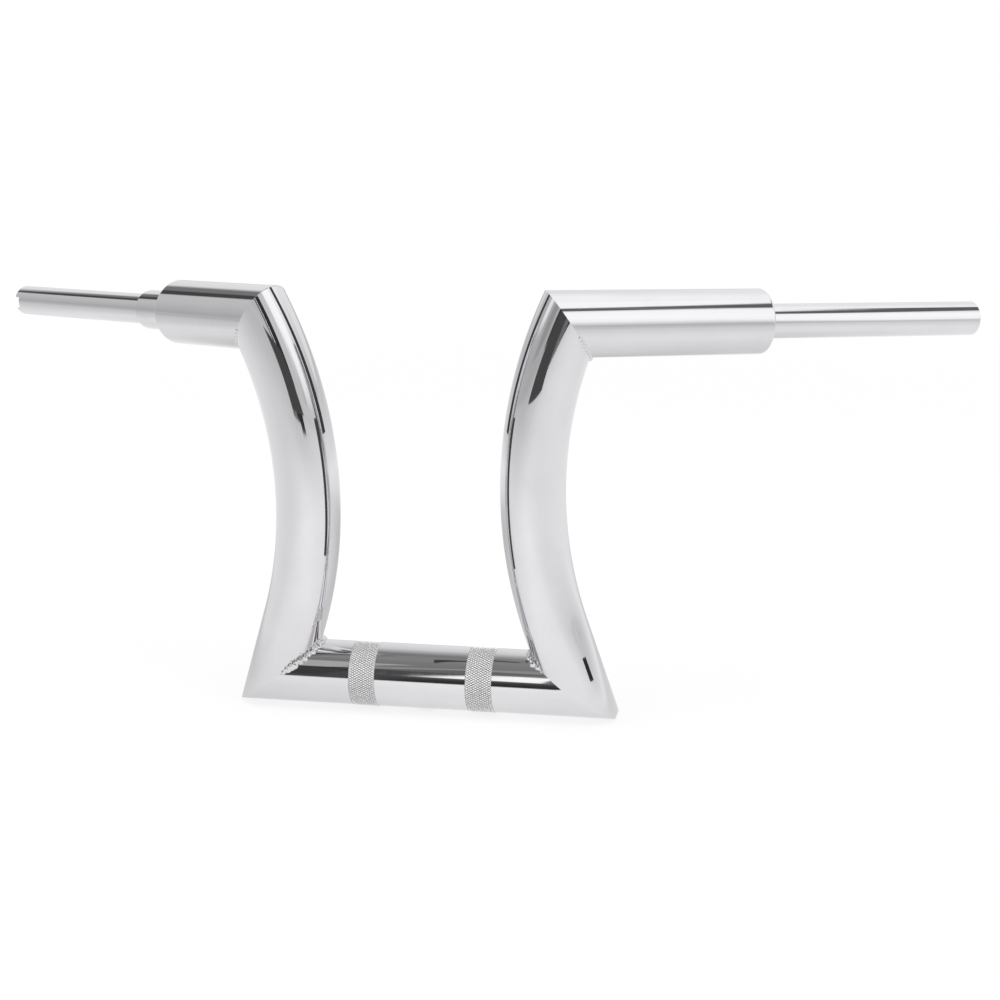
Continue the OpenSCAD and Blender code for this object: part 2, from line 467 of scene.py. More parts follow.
@dataclass(frozen=True)
class KnurlFinish:
    """Satin chrome on the knurl's pyramids, with a painted highlight on the crests and painted shade in the
    grooves.
    """

    name: str = "knurled_chrome"
    crest: float = 23.79 * MM
    valley: float = 23.69 * MM
    # The crest colour is a painted highlight and the groove colour is painted shade.
    crest_tone: Tuple[float, float, float] = (1.0, 1.0, 1.0)
    valley_tone: Tuple[float, float, float] = (0.12, 0.12, 0.125)
    metallic: float = 0.2

    def build(self) -> bpy.types.Material:
        """Makes the material.

        Returns:
            Satin chrome whose grooves are duller than its crests, with painted shade in the grooves and a
            painted highlight on the crests.
        """
        material, tree = ShaderTree.of_material(self.name)
        where = tree.coordinates()
        flat = tree.stretched(where, (0.0, 1.0, 1.0))
        reach = tree.node("ShaderNodeVectorMath", {"operation": "LENGTH"}, {0: flat}, out="Value")
        rise = reach.band(self.valley, self.crest)
        dust = tree.noise(where, 700.0, 2.0).band(0.35, 0.75)
        # Painted highlight on the crests and painted shade in the grooves, set by the radius, with a little
        # dust mixed in.
        lit = (rise * 0.85 + dust * 0.15).band(0.0, 0.9)
        colour = tree.mix_colour(lit, (*self.valley_tone, 1.0), (*self.crest_tone, 1.0))
        rough = (1.0 - rise) * 0.2 + dust * 0.08 + 0.24
        normal = tree.bump(tree.noise(where, 1800.0, 2.0), 0.00001)
        shader = tree.node("ShaderNodeBsdfPrincipled", {},
                           {"Base Color": colour, "Metallic": self.metallic, "Roughness": rough,
                            "Normal": normal})
        tree.surface(shader)
        return material


# The modelling bench


class Bench:
    """One mesh at a time, shaped with Blender's own tools."""

    @staticmethod
    def clear() -> None:
        """Deselects every object."""
        bpy.ops.object.select_all(action="DESELECT")

    @staticmethod
    def take(piece: bpy.types.Object) -> None:
        """Makes a piece the only selected object and the active one."""
        Bench.clear()
        piece.select_set(True)
        bpy.context.view_layer.objects.active = piece

    @staticmethod
    def edit(piece: bpy.types.Object) -> None:
        """Opens a piece in edit mode."""
        Bench.take(piece)
        bpy.ops.object.mode_set(mode="EDIT")
        bpy.ops.mesh.select_mode(type="VERT")

    @staticmethod
    def done() -> None:
        """Leaves edit mode."""
        bpy.ops.object.mode_set(mode="OBJECT")

    @staticmethod
    def face_out() -> None:
        """Turns every face of the open mesh outwards and leaves edit mode."""
        bpy.ops.mesh.select_all(action="SELECT")
        bpy.ops.mesh.normals_make_consistent(inside=False)
        Bench.done()

    @staticmethod
    def settle() -> None:
        """Applies the active object's place, turn and scale to its mesh."""
        bpy.ops.object.transform_apply(location=True, rotation=True, scale=True)

    @staticmethod
    def pick_edges(test: Callable[[bmesh.types.BMEdge], bool]) -> int:
        """Selects the edges of the open mesh that pass a test.

        Args:
            test: says of an edge whether it is wanted.

        Returns:
            How many were selected.
        """
        bpy.ops.mesh.select_mode(type="EDGE")
        bpy.ops.mesh.select_all(action="DESELECT")
        mesh = bpy.context.edit_object.data
        shape = bmesh.from_edit_mesh(mesh)
        count = 0
        for edge in shape.edges:
            if test(edge):
                edge.select_set(True)
                count += 1
        shape.select_flush_mode()
        bmesh.update_edit_mesh(mesh)
        return count

    @staticmethod
    def ring(radius: float, at: Point, tilt: Sequence[float] = (0.0, 0.0, 0.0)) -> bpy.types.Object:
        """Adds an open ring of edges.

        Args:
            radius: its radius.
            at: its centre.
            tilt: its turn, as Euler angles.

        Returns:
            The new object, with its place applied.
        """
        Bench.clear()
        bpy.ops.mesh.primitive_circle_add(vertices=ROUND_SIDES, radius=radius, fill_type="NOTHING",
                                          location=tuple(at), rotation=tuple(tilt))
        made = bpy.context.active_object
        Bench.settle()
        return made

    @staticmethod
    def join(pieces: Sequence[bpy.types.Object]) -> bpy.types.Object:
        """Joins pieces into the first of them and returns it."""
        Bench.take(pieces[0])
        for piece in pieces[1:]:
            piece.select_set(True)
        bpy.ops.object.join()
        return pieces[0]

    @staticmethod
    def cut(plane_point: Point, plane_normal: Point, fill: bool = False,
            within: Optional[float] = None) -> None:
        """Cuts the open mesh at a plane and throws away what lies past it.

        Args:
            plane_point: a point on the plane.
            plane_normal: its normal, towards the side that goes.
            fill: closes the cut with a face.
            within: cuts only the edges whose middle is this near to the point; left out, all.
        """
        if within is None:
            bpy.ops.mesh.select_all(action="SELECT")
        else:
            point = Vector(plane_point)
            Bench.pick_edges(
                lambda edge: (edge.verts[0].co.lerp(edge.verts[1].co, 0.5) - point).length < within)
            bpy.ops.mesh.select_mode(type="VERT")
        bpy.ops.mesh.bisect(plane_co=tuple(plane_point), plane_no=tuple(plane_normal), use_fill=fill,
                            clear_inner=False, clear_outer=True, threshold=1e-7)

    @staticmethod
    def close_rim(plane_point: Vector, plane_normal: Vector) -> None:
        """Fills the ring between the outer and the inner wall where both end at a plane.

        Args:
            plane_point: a point on the plane.
            plane_normal: its normal, of length 1.
        """
        def on_rim(edge: bmesh.types.BMEdge) -> bool:
            """Says whether an edge is open and lies in the plane."""
            return edge.is_boundary and all(
                abs((vert.co - plane_point).dot(plane_normal)) < PLANE_TOLERANCE for vert in edge.verts)

        Bench.pick_edges(on_rim)
        bpy.ops.mesh.fill()

    @staticmethod
    def turn_profile(name: str, profile: Sequence[Tuple[float, float]],
                     closed: bool = True) -> bpy.types.Object:
        """Turns a profile about Z: a ring is extruded and resized from point to point.

        Args:
            name: the piece's name.
            profile: radius and height of each point.
            closed: joins the last point to the first.

        Returns:
            The turned piece, with its normals pointing out.
        """
        radius, height = profile[0]
        piece = Bench.ring(radius, (0.0, 0.0, height))
        piece.name = piece.data.name = name
        Bench.edit(piece)
        bpy.ops.mesh.select_all(action="SELECT")
        points = list(profile[1:]) + ([profile[0]] if closed else [])
        for next_radius, next_height in points:
            bpy.ops.mesh.extrude_edges_move(
                TRANSFORM_OT_translate={"value": (0.0, 0.0, next_height - height)})
            scale = next_radius / radius
            bpy.ops.transform.resize(value=(scale, scale, 1.0), center_override=(0.0, 0.0, next_height))
            radius, height = next_radius, next_height
        bpy.ops.mesh.select_all(action="SELECT")
        bpy.ops.mesh.remove_doubles(threshold=MERGE_DISTANCE)
        Bench.face_out()
        return piece

    @staticmethod
    def place(piece: bpy.types.Object, matrix: Matrix) -> None:
        """Lays a piece in its place and applies it to the mesh.

        Args:
            piece: a piece that sits at the origin.
            matrix: its place, mirrored or not.
        """
        Bench.take(piece)
        piece.matrix_world = matrix
        Bench.settle()
        if matrix.determinant() < 0.0:
            Bench.edit(piece)
            Bench.face_out()

    @staticmethod
    def apply(piece: bpy.types.Object, kind: str, **settings: object) -> None:
        """Adds a modifier with these settings and applies it.

        Args:
            piece: the piece that it works on.
            kind: the modifier's type.
            settings: its properties.
        """
        Bench.take(piece)
        modifier = piece.modifiers.new(kind.lower(), kind)
        for name, value in settings.items():
            setattr(modifier, name, value)
        bpy.ops.object.modifier_apply(modifier=modifier.name)

    @staticmethod
    def cut_with(piece: bpy.types.Object, tool: bpy.types.Object) -> None:
        """Takes a tool's shape out of a piece and puts the tool away."""
        Bench.apply(piece, "BOOLEAN", operation="DIFFERENCE", solver="EXACT", object=tool)
        bpy.data.objects.remove(tool, do_unlink=True)

    @staticmethod
    def soften(piece: bpy.types.Object, degrees: float = 28.0) -> None:
        """Shades a piece smooth, with sharp edges where it turns by more than an angle."""
        Bench.take(piece)
        bpy.ops.object.shade_smooth_by_angle(angle=math.radians(degrees))


@dataclass
class Assembly:
    """What each sub-assembly of the bar shares: how its pieces are handed over."""

    side: Side = Side.CLUTCH

    def finish(self, piece: bpy.types.Object, name: str, material: bpy.types.Material, slot: str,
               *nodes: str) -> bpy.types.Object:
        """Names a piece, dresses it and ties it to the frame.

        Args:
            piece: the shaped piece.
            name: its name.
            material: its finish.
            slot: the record's slot meant for the finish; not used.
            nodes: the CAD nodes that it stands for.

        Returns:
            The piece.
        """
        piece.name = piece.data.name = name
        piece.data.materials.clear()
        piece.data.materials.append(material)
        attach(piece, BODY)
        if nodes:
            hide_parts(*nodes)
        LOG.info("%s: %d faces", name, len(piece.data.polygons))
        return piece


# Sub-assemblies


@dataclass
class ClampTube(Assembly):
    """The fat bottom tube: mitred ends, two knurled bands and the wiring exit below."""

    band_pitch: float = 88.9 * MM
    band_width: float = 20.0 * MM
    seat_radius: float = 23.3 * MM
    band_floor: float = 23.62 * MM
    band_crest: float = 24.08 * MM
    teeth_round: int = 82
    teeth_along: int = 6
    exit_radius: float = 9.5 * MM
    end_rings: int = 18

    def build(self) -> None:
        """Models and dresses the tube and its two bands."""
        chrome = ChromeFinish("clamp_tube_chrome", coords=Matrix.Rotation(math.pi / 2, 4, "Y")).build()
        tube = self.tube()
        self.finish(tube, "clamp_tube_shell", chrome, "clamp_chrome", "clamp_tube")
        satin = KnurlFinish().build()
        for side in Side:
            band = self.band(side.value * self.band_pitch / 2)
            self.finish(band, f"{side.label}_knurl_band", satin, "clamp_chrome", "clamp_tube")

    def tube(self) -> bpy.types.Object:
        """The tube itself, with a shallow seat under each band."""
        reach = LAYOUT.clamp_span / 2 + 2 * LAYOUT.fat_radius
        outer, inner = LAYOUT.fat_radius, LAYOUT.fat_bore
        seats: List[Tuple[float, float]] = []
        for middle in (-self.band_pitch / 2, self.band_pitch / 2):
            low, high = middle - self.band_width / 2, middle + self.band_width / 2
            seats += [(outer, low), (self.seat_radius, low), (self.seat_radius, high), (outer, high)]
        inboard = (self.band_pitch + self.band_width) / 2
        rings = [inboard + (reach - inboard) * step / self.end_rings for step in range(1, self.end_rings)]
        before = [(outer, -at) for at in reversed(rings)]
        after = [(outer, at) for at in rings]
        profile = [(outer, -reach), *before, *seats, *after, (outer, reach)]
        piece = Bench.turn_profile("clamp_tube_shell", profile, closed=False)
        liner = Bench.turn_profile("liner", [(inner, -reach), (inner, reach)], closed=False)
        piece = Bench.join([piece, liner])
        Bench.place(piece, Matrix.Rotation(math.pi / 2, 4, "Y"))
        Bench.edit(piece)
        for side in Side:
            point = side.mirror @ LAYOUT.foot_point
            normal = (side.mirror.to_3x3() @ LAYOUT.foot_mitre).normalized()
            Bench.cut(point, normal)
            Bench.close_rim(point, normal)
            for at, way in LAYOUT.corner_planes(-LAYOUT.foot_mitre):
                Bench.cut(side.mirror @ at, side.mirror @ way, fill=True)
        Bench.face_out()
        Bench.clear()
        bpy.ops.mesh.primitive_cylinder_add(vertices=64, radius=self.exit_radius,
                                            depth=2 * LAYOUT.fat_radius,
                                            location=(0.0, 0.0, -LAYOUT.fat_radius))
        Bench.cut_with(piece, bpy.context.active_object)
        Bench.soften(piece)
        return piece

    def band(self, middle: float) -> bpy.types.Object:
        """One knurled band of raised diamond pyramids.

        Args:
            middle: the band's place along X.

        Returns:
            The band.
        """
        Bench.clear()
        bpy.ops.mesh.primitive_cylinder_add(vertices=self.teeth_round, radius=self.band_floor,
                                            depth=self.band_width, end_fill_type="NOTHING")
        piece = bpy.context.active_object
        Bench.edit(piece)
        Bench.pick_edges(lambda edge: abs(edge.verts[0].co.z - edge.verts[1].co.z) > 1e-5)
        bpy.ops.mesh.subdivide(number_cuts=self.teeth_along - 1)
        shape = bmesh.from_edit_mesh(piece.data)
        corners = {vert.index for vert in shape.verts}
        bpy.ops.mesh.select_mode(type="FACE")
        bpy.ops.mesh.select_all(action="SELECT")
        bpy.ops.mesh.poke(offset=0.0)
        Bench.pick_edges(lambda edge: not edge.is_boundary
                         and all(vert.index in corners for vert in edge.verts))
        bpy.ops.mesh.dissolve_edges(use_verts=False)
        bpy.ops.mesh.select_mode(type="FACE")
        bpy.ops.mesh.select_all(action="SELECT")
        bpy.ops.mesh.normals_make_consistent(inside=False)
        bpy.ops.mesh.poke(offset=self.band_crest - self.band_floor)
        Bench.pick_edges(lambda edge: edge.is_boundary)
        bpy.ops.mesh.extrude_edges_move()
        shrink = self.seat_radius / self.band_floor
        bpy.ops.transform.resize(value=(shrink, shrink, 1.0), center_override=(0.0, 0.0, 0.0))
        Bench.pick_edges(lambda edge: edge.is_boundary)
        bpy.ops.mesh.bridge_edge_loops()
        Bench.face_out()
        Bench.place(piece, Matrix.Translation((middle, 0.0, 0.0)) @ Matrix.Rotation(math.pi / 2, 4, "Y"))
        return piece


@dataclass
class Riser(Assembly):
    """A fat riser: a straight foot and an inward bend, mitred at both ends."""

    bend_steps: int = 56
    foot_rings: int = 16
    overrun: float = 50.0 * MM

    def build(self) -> None:
        """Models and dresses the riser."""
        name = f"{self.side.label}_riser"
        chrome = ChromeFinish(f"{name}_chrome").build()
        self.finish(self.tube(), f"{name}_shell", chrome, "fat_chrome", name)

    def tube(self) -> bpy.types.Object:
        """The bent tube: two rings are spun round the bend's centre and drawn out at the foot."""
        tilt = (0.0, -LAYOUT.foot_lean, 0.0)
        start, way = LAYOUT.bend_start, LAYOUT.foot_dir
        piece = Bench.join([Bench.ring(radius, start, tilt)
                            for radius in (LAYOUT.fat_radius, LAYOUT.fat_bore)])
        Bench.edit(piece)
        bpy.ops.mesh.select_all(action="SELECT")
        spare = self.overrun / LAYOUT.bend_radius
        bpy.ops.mesh.spin(steps=self.bend_steps, angle=-(LAYOUT.foot_lean + LAYOUT.head_lean + spare),
                          center=tuple(LAYOUT.bend_centre), axis=(0.0, 1.0, 0.0))
        Bench.pick_edges(lambda edge: all(
            abs((vert.co - start).dot(way)) < MERGE_DISTANCE for vert in edge.verts))
        step = -way * (LAYOUT.riser_foot + self.overrun) / self.foot_rings
        for _ in range(self.foot_rings):
            bpy.ops.mesh.extrude_edges_move(TRANSFORM_OT_translate={"value": tuple(step)})
        Bench.cut(LAYOUT.foot_point, -LAYOUT.foot_mitre)
        Bench.close_rim(LAYOUT.foot_point, LAYOUT.foot_mitre)
        Bench.cut(LAYOUT.head_point, LAYOUT.head_mitre)
        Bench.close_rim(LAYOUT.head_point, LAYOUT.head_mitre)
        bpy.ops.mesh.select_all(action="SELECT")
        bpy.ops.mesh.remove_doubles(threshold=MERGE_DISTANCE)
        for at, out in LAYOUT.corner_planes(LAYOUT.foot_mitre):
            Bench.cut(at, out, fill=True, within=2.5 * LAYOUT.fat_radius)
        Bench.face_out()
        Bench.place(piece, self.side.mirror)
        Bench.soften(piece)
        return piece


@dataclass
class Arm(Assembly):
    """A shoulder with its end plug, its grip tube and, on the throttle side, the collar."""

    shoulder_length: float = 155.0 * MM
    plug_depth: float = 14.0 * MM
    end_chamfer: float = 0.8 * MM
    grip_radius: float = 12.7 * MM
    grip_length: float = 186.0 * MM
    grip_wall: float = 3.2 * MM
    insert: float = 24.0 * MM
    spigot_step: float = 0.75 * MM
    end_bore: float = 60.0 * MM
    bore_step: float = 0.5 * MM
    tip_chamfer: float = 0.8 * MM
    slot_width: float = 9.0 * MM
    slots: Tuple[Tuple[float, float], ...] = ((84.0 * MM, 20.0 * MM),)
    collar_radius: float = 0.0
    collar_length: float = 0.0
    notch_width: float = 0.0
    notch_depth: float = 0.0

    @property
    def seat(self) -> float:
        """Where the grip tube comes out, along the arm."""
        return self.shoulder_length + self.collar_length

    @property
    def place(self) -> Matrix:
        """The arm's place, mirrored for the throttle side."""
        return self.side.mirror @ LAYOUT.arm_place()

    def build(self) -> None:
        """Models and dresses the arm's pieces."""
        side = self.side.label
        polished = ChromeFinish(f"{side}_shoulder_chrome", coords=self.place).build()
        turned = ChromeFinish(f"{side}_turned_chrome", coords=self.place, turning_depth=0.000002,
                              roughness=0.055, haze_roughness=0.12, ripple_depth=0.00001).build()
        self.finish(self.shoulder(), f"{side}_shoulder_shell", polished, "fat_chrome", f"{side}_shoulder")
        self.finish(self.plug(), f"{side}_end_ring", turned, "fat_chrome", f"{side}_end_plug")
        self.finish(self.grip(), f"{side}_grip_shell", turned, "grip_chrome", f"{side}_grip_tube")
        if self.collar_length > 0.0:
            self.finish(self.collar(), f"{side}_collar_sleeve", turned, "grip_chrome", f"{side}_collar")

    def shoulder(self) -> bpy.types.Object:
        """The fat tube from the riser's head to the plug."""
        outer, inner = LAYOUT.fat_radius, LAYOUT.fat_bore
        start, end, chamfer = -2 * outer, self.shoulder_length, self.end_chamfer
        piece = Bench.turn_profile("shoulder", [(inner, start), (inner, end), (outer - chamfer, end),
                                                (outer - chamfer * 0.3, end - chamfer * 0.3),
                                                (outer, end - chamfer), (outer, end - 2 * chamfer),
                                                (outer, start)], closed=False)
        Bench.place(piece, LAYOUT.arm_place())
        Bench.edit(piece)
        Bench.cut(LAYOUT.head_point, -LAYOUT.head_mitre)
        Bench.close_rim(LAYOUT.head_point, LAYOUT.head_mitre)
        Bench.face_out()
        Bench.place(piece, self.side.mirror)
        Bench.soften(piece)
        return piece

    def plug(self) -> bpy.types.Object:
        """The turned ring that closes the shoulder round the spigot."""
        end, bore = self.shoulder_length, self.grip_radius - self.spigot_step
        outer = LAYOUT.fat_bore
        break_edge = 0.4 * MM
        piece = Bench.turn_profile("plug", [
            (bore, end - self.plug_depth), (outer, end - self.plug_depth),
            (outer, end - self.end_chamfer), (outer - self.end_chamfer, end),
            (bore + break_edge, end), (bore, end - break_edge)])
        Bench.place(piece, self.place)
        Bench.soften(piece)
        return piece

    def collar(self) -> bpy.types.Object:
        """The sleeve between the throttle shoulder and its grip tube."""
        low, high, bore = self.shoulder_length, self.seat, self.grip_radius - self.spigot_step
        outer, chamfer = self.collar_radius, self.tip_chamfer
        piece = Bench.turn_profile("collar", [(bore, low), (outer, low), (outer, high - chamfer),
                                              (outer - chamfer, high), (bore, high)])
        Bench.place(piece, self.place)
        Bench.soften(piece)
        return piece

    def grip(self) -> bpy.types.Object:
        """The thin tube with its spigot, slots and notches."""
        radius, tip, chamfer = self.grip_radius, self.seat + self.grip_length, self.tip_chamfer
        bore = radius - self.grip_wall
        passage, spigot, step = bore - self.bore_step, radius - self.spigot_step, tip - self.end_bore
        piece = Bench.turn_profile("grip", [
            (passage, self.shoulder_length - self.insert), (spigot, self.shoulder_length - self.insert),
            (spigot, self.seat), (radius, self.seat), (radius, tip - chamfer),
            (radius - chamfer, tip), (bore, tip), (bore, step), (passage, step)])
        for inset, length in self.slots:
            Bench.cut_with(piece, self._slot_tool(self.seat + inset, length))
        if self.notch_depth > 0.0:
            Bench.clear()
            bpy.ops.mesh.primitive_cube_add(size=1.0, location=(0.0, 0.0, tip), scale=(
                self.notch_width, 4 * radius, 2 * self.notch_depth))
            tool = bpy.context.active_object
            Bench.settle()
            self._round_upright_edges(tool, 1, 1.0 * MM, 4)
            Bench.cut_with(piece, tool)
        Bench.place(piece, self.place)
        Bench.soften(piece)
        return piece

    def _slot_tool(self, start: float, length: float) -> bpy.types.Object:
        """A round-ended cutter for the lower wall of the grip tube.

        Args:
            start: where the slot starts along the arm.
            length: its length over the round ends.

        Returns:
            The cutter.
        """
        Bench.clear()
        reach = 2 * self.grip_radius
        bpy.ops.mesh.primitive_cube_add(size=1.0, location=(reach / 2, 0.0, start + length / 2),
                                        scale=(reach, self.slot_width, length))
        tool = bpy.context.active_object
        Bench.settle()
        self._round_upright_edges(tool, 0, self.slot_width / 2 * 0.999, 12)
        return tool

    @staticmethod
    def _round_upright_edges(tool: bpy.types.Object, axis: int, radius: float, segments: int) -> None:
        """Rounds the edges of a block that run along one axis.

        Args:
            tool: the block.
            axis: 0, 1 or 2 for X, Y or Z.
            radius: the rounding's radius.
            segments: facets in each rounding.
        """
        Bench.edit(tool)
        Bench.pick_edges(lambda edge: abs(edge.verts[0].co[axis] - edge.verts[1].co[axis]) > 1e-4)
        bpy.ops.mesh.bevel(offset=radius, segments=segments, profile=0.5, affect="EDGES",
                           clamp_overlap=True)
        Bench.done()


@dataclass
class WeldBead(Assembly):
    """A bead of overlapping scales along the crook of a mitre, ground flat towards the front."""

    name: str = "foot_weld"
    radius: float = 3.6 * MM
    front_sweep: float = math.radians(76.0)
    rear_sweep: float = math.radians(76.0)
    ground_from: float = math.radians(56.0)
    ground_width: float = 1.2
    pitch: float = 1.9 * MM
    squash: float = 0.5
    unevenness: float = 0.15
    wander: float = 0.26
    thinning: float = 0.72
    voxel: float = 0.34 * MM

    def build(self) -> None:
        """Models and dresses the bead."""
        node = f"{self.side.label}_{self.name}"
        plate = ChromeFinish(f"{node}_chrome", tone=(0.82, 0.82, 0.83), haze_tone=(0.68, 0.68, 0.69),
                             roughness=0.10, haze_roughness=0.24, ripple_scale=260.0,
                             ripple_depth=0.00006).build()
        self.finish(self.bead(), f"{node}_bead", plate, "weld_bead", node)

    def mitre(self) -> Tuple[Vector, Vector, Vector]:
        """The mitre's centre and the two half axes of its ellipse, crook and across, on the clutch side."""
        if self.name == "foot_weld":
            centre, first, second = LAYOUT.foot_point, LAYOUT.foot_dir, Vector((-1.0, 0.0, 0.0))
        else:
            centre, first, second = LAYOUT.head_point, -LAYOUT.head_dir, LAYOUT.arm_dir
        half_angle = math.acos(max(-1.0, min(1.0, first.dot(second)))) / 2
        crook = LAYOUT.fat_radius / math.sin(half_angle) * (first + second).normalized()
        return centre, crook, LAYOUT.fat_radius * first.cross(second).normalized()

    def path(self) -> List[Tuple[float, Vector, Vector, Vector]]:
        """Turn towards the front, point, direction and outward normal of each scale, on the clutch side."""
        centre, crook, across = self.mitre()
        sweep = self.front_sweep + self.rear_sweep
        count = max(6, round(sweep / 2 * (crook.length + across.length) / self.pitch))
        scales = []
        for step in range(count + 1):
            turn = -self.rear_sweep + sweep * (step + 0.32 * math.sin(2.9 * step + 0.4)) / count
            at = centre + math.cos(turn) * crook + math.sin(turn) * across
            along = (-math.sin(turn) * crook + math.cos(turn) * across).normalized()
            out = (math.cos(turn) * crook + math.sin(turn) * across).normalized()
            out = (out - out.dot(along) * along).normalized()
            scales.append((turn, at, along, out))
        return scales

    def grind(self, piece: bpy.types.Object) -> None:
        """Smooths the melted bead past the turn where it is ground."""
        centre, crook, across = self.mitre()
        ground = piece.vertex_groups.new(name="ground")
        for vert in piece.data.vertices:
            reach = vert.co - centre
            turn = math.atan2(reach.dot(across) / across.length_squared,
                              reach.dot(crook) / crook.length_squared)
            weight = (turn - self.ground_from) / math.radians(8.0)
            if weight > 0.0:
                ground.add([vert.index], min(1.0, weight), "REPLACE")
        Bench.apply(piece, "SMOOTH", factor=0.5, iterations=28, vertex_group="ground")

    def scale(self, at: Vector, along: Vector, out: Vector, size: Sequence[float]) -> bpy.types.Object:
        """One scale of the bead, an ellipsoid that leans along the path.

        Args:
            at: its centre.
            along: the path's direction.
            out: the direction away from the tubes.
            size: its radii across, outwards and along.

        Returns:
            The scale.
        """
        Bench.clear()
        bpy.ops.mesh.primitive_uv_sphere_add(segments=16, ring_count=10, radius=1.0)
        made = bpy.context.active_object
        side = along.cross(out)
        lean = (along + 0.35 * out).normalized()
        frame_of = Matrix((side, lean.cross(side).normalized(), lean)).transposed().to_4x4()
        Bench.place(made, Matrix.Translation(at) @ frame_of @ Matrix.Diagonal((*size, 1.0)))
        return made

    def bead(self) -> bpy.types.Object:
        """The scales, copied along the path and melted into one skin."""
        scales = []
        path = self.path()
        for step, (turn, at, along, out) in enumerate(path):
            edge = min(step, len(path) - 1 - step)
            ground = max(0.0, min(1.0, (turn - self.ground_from) / math.radians(10.0)))
            rough = (1.0 - ground) * math.sin(2.3 * step) * math.sin(0.9 * step + 1.0)
            size = self.radius * min(1.0, 0.4 + 0.17 * edge) * (1.0 + self.unevenness * rough)
            side = along.cross(out)
            middle = at + self.wander * size * rough * side
            scales.append(self.scale(middle, along, out, (
                size * (1.0 + (self.ground_width - 1.0) * ground), size * (1.0 - self.thinning * ground),
                size * (self.squash + 0.5 * ground))))
            if ground < 0.3 and edge > 2:
                toe = size * (0.26 + 0.12 * math.sin(5.1 * step))
                way = 1.0 if step % 2 else -1.0
                scales.append(self.scale(at + 0.86 * size * way * side + 0.3 * size * out, along, out,
                                         (toe, toe, toe)))
        piece = Bench.join(scales)
        Bench.apply(piece, "REMESH", mode="VOXEL", voxel_size=self.voxel)
        Bench.apply(piece, "SMOOTH", factor=0.5, iterations=1)
        self.grind(piece)
        Bench.place(piece, self.side.mirror)
        Bench.take(piece)
        bpy.ops.object.shade_smooth()
        return piece


# Studio


BRIGHTEST = 1.25


def grey(tone: float) -> Tuple[float, float, float, float]:
    """A grey of one tone."""
    return (tone, tone, tone, 1.0)


@dataclass(frozen=True)
class StudioWall:
    """One upright slice of the studio as the chrome mirrors it, with its own tones by height."""

    name: str
    centre: float
    half_width: float
    softness: float
    tones: Tuple[Tuple[float, float], ...]

    def hang(self, tree: ShaderTree, room: object, turn: Wire, rise: Wire) -> Wire:
        """Lays the slice over what stands behind it.

        Args:
            tree: the world's tree.
            room: the colour of what stands behind.
            turn: degrees round from the front, positive towards the clutch side.
            rise: degrees above the horizon.

        Returns:
            The colour with this slice in it.
        """
        LOG.debug("wall %s", self.name)
        aside = (turn - self.centre).wrapped(180.0, -180.0).absolute()
        edge = self.softness / 2
        mask = aside.band(self.half_width - edge, self.half_width + edge, 1.0, 0.0)
        return tree.mix_colour(mask, room, tree.tone_curve(rise, -10.0, 90.0, self.tones, BRIGHTEST))


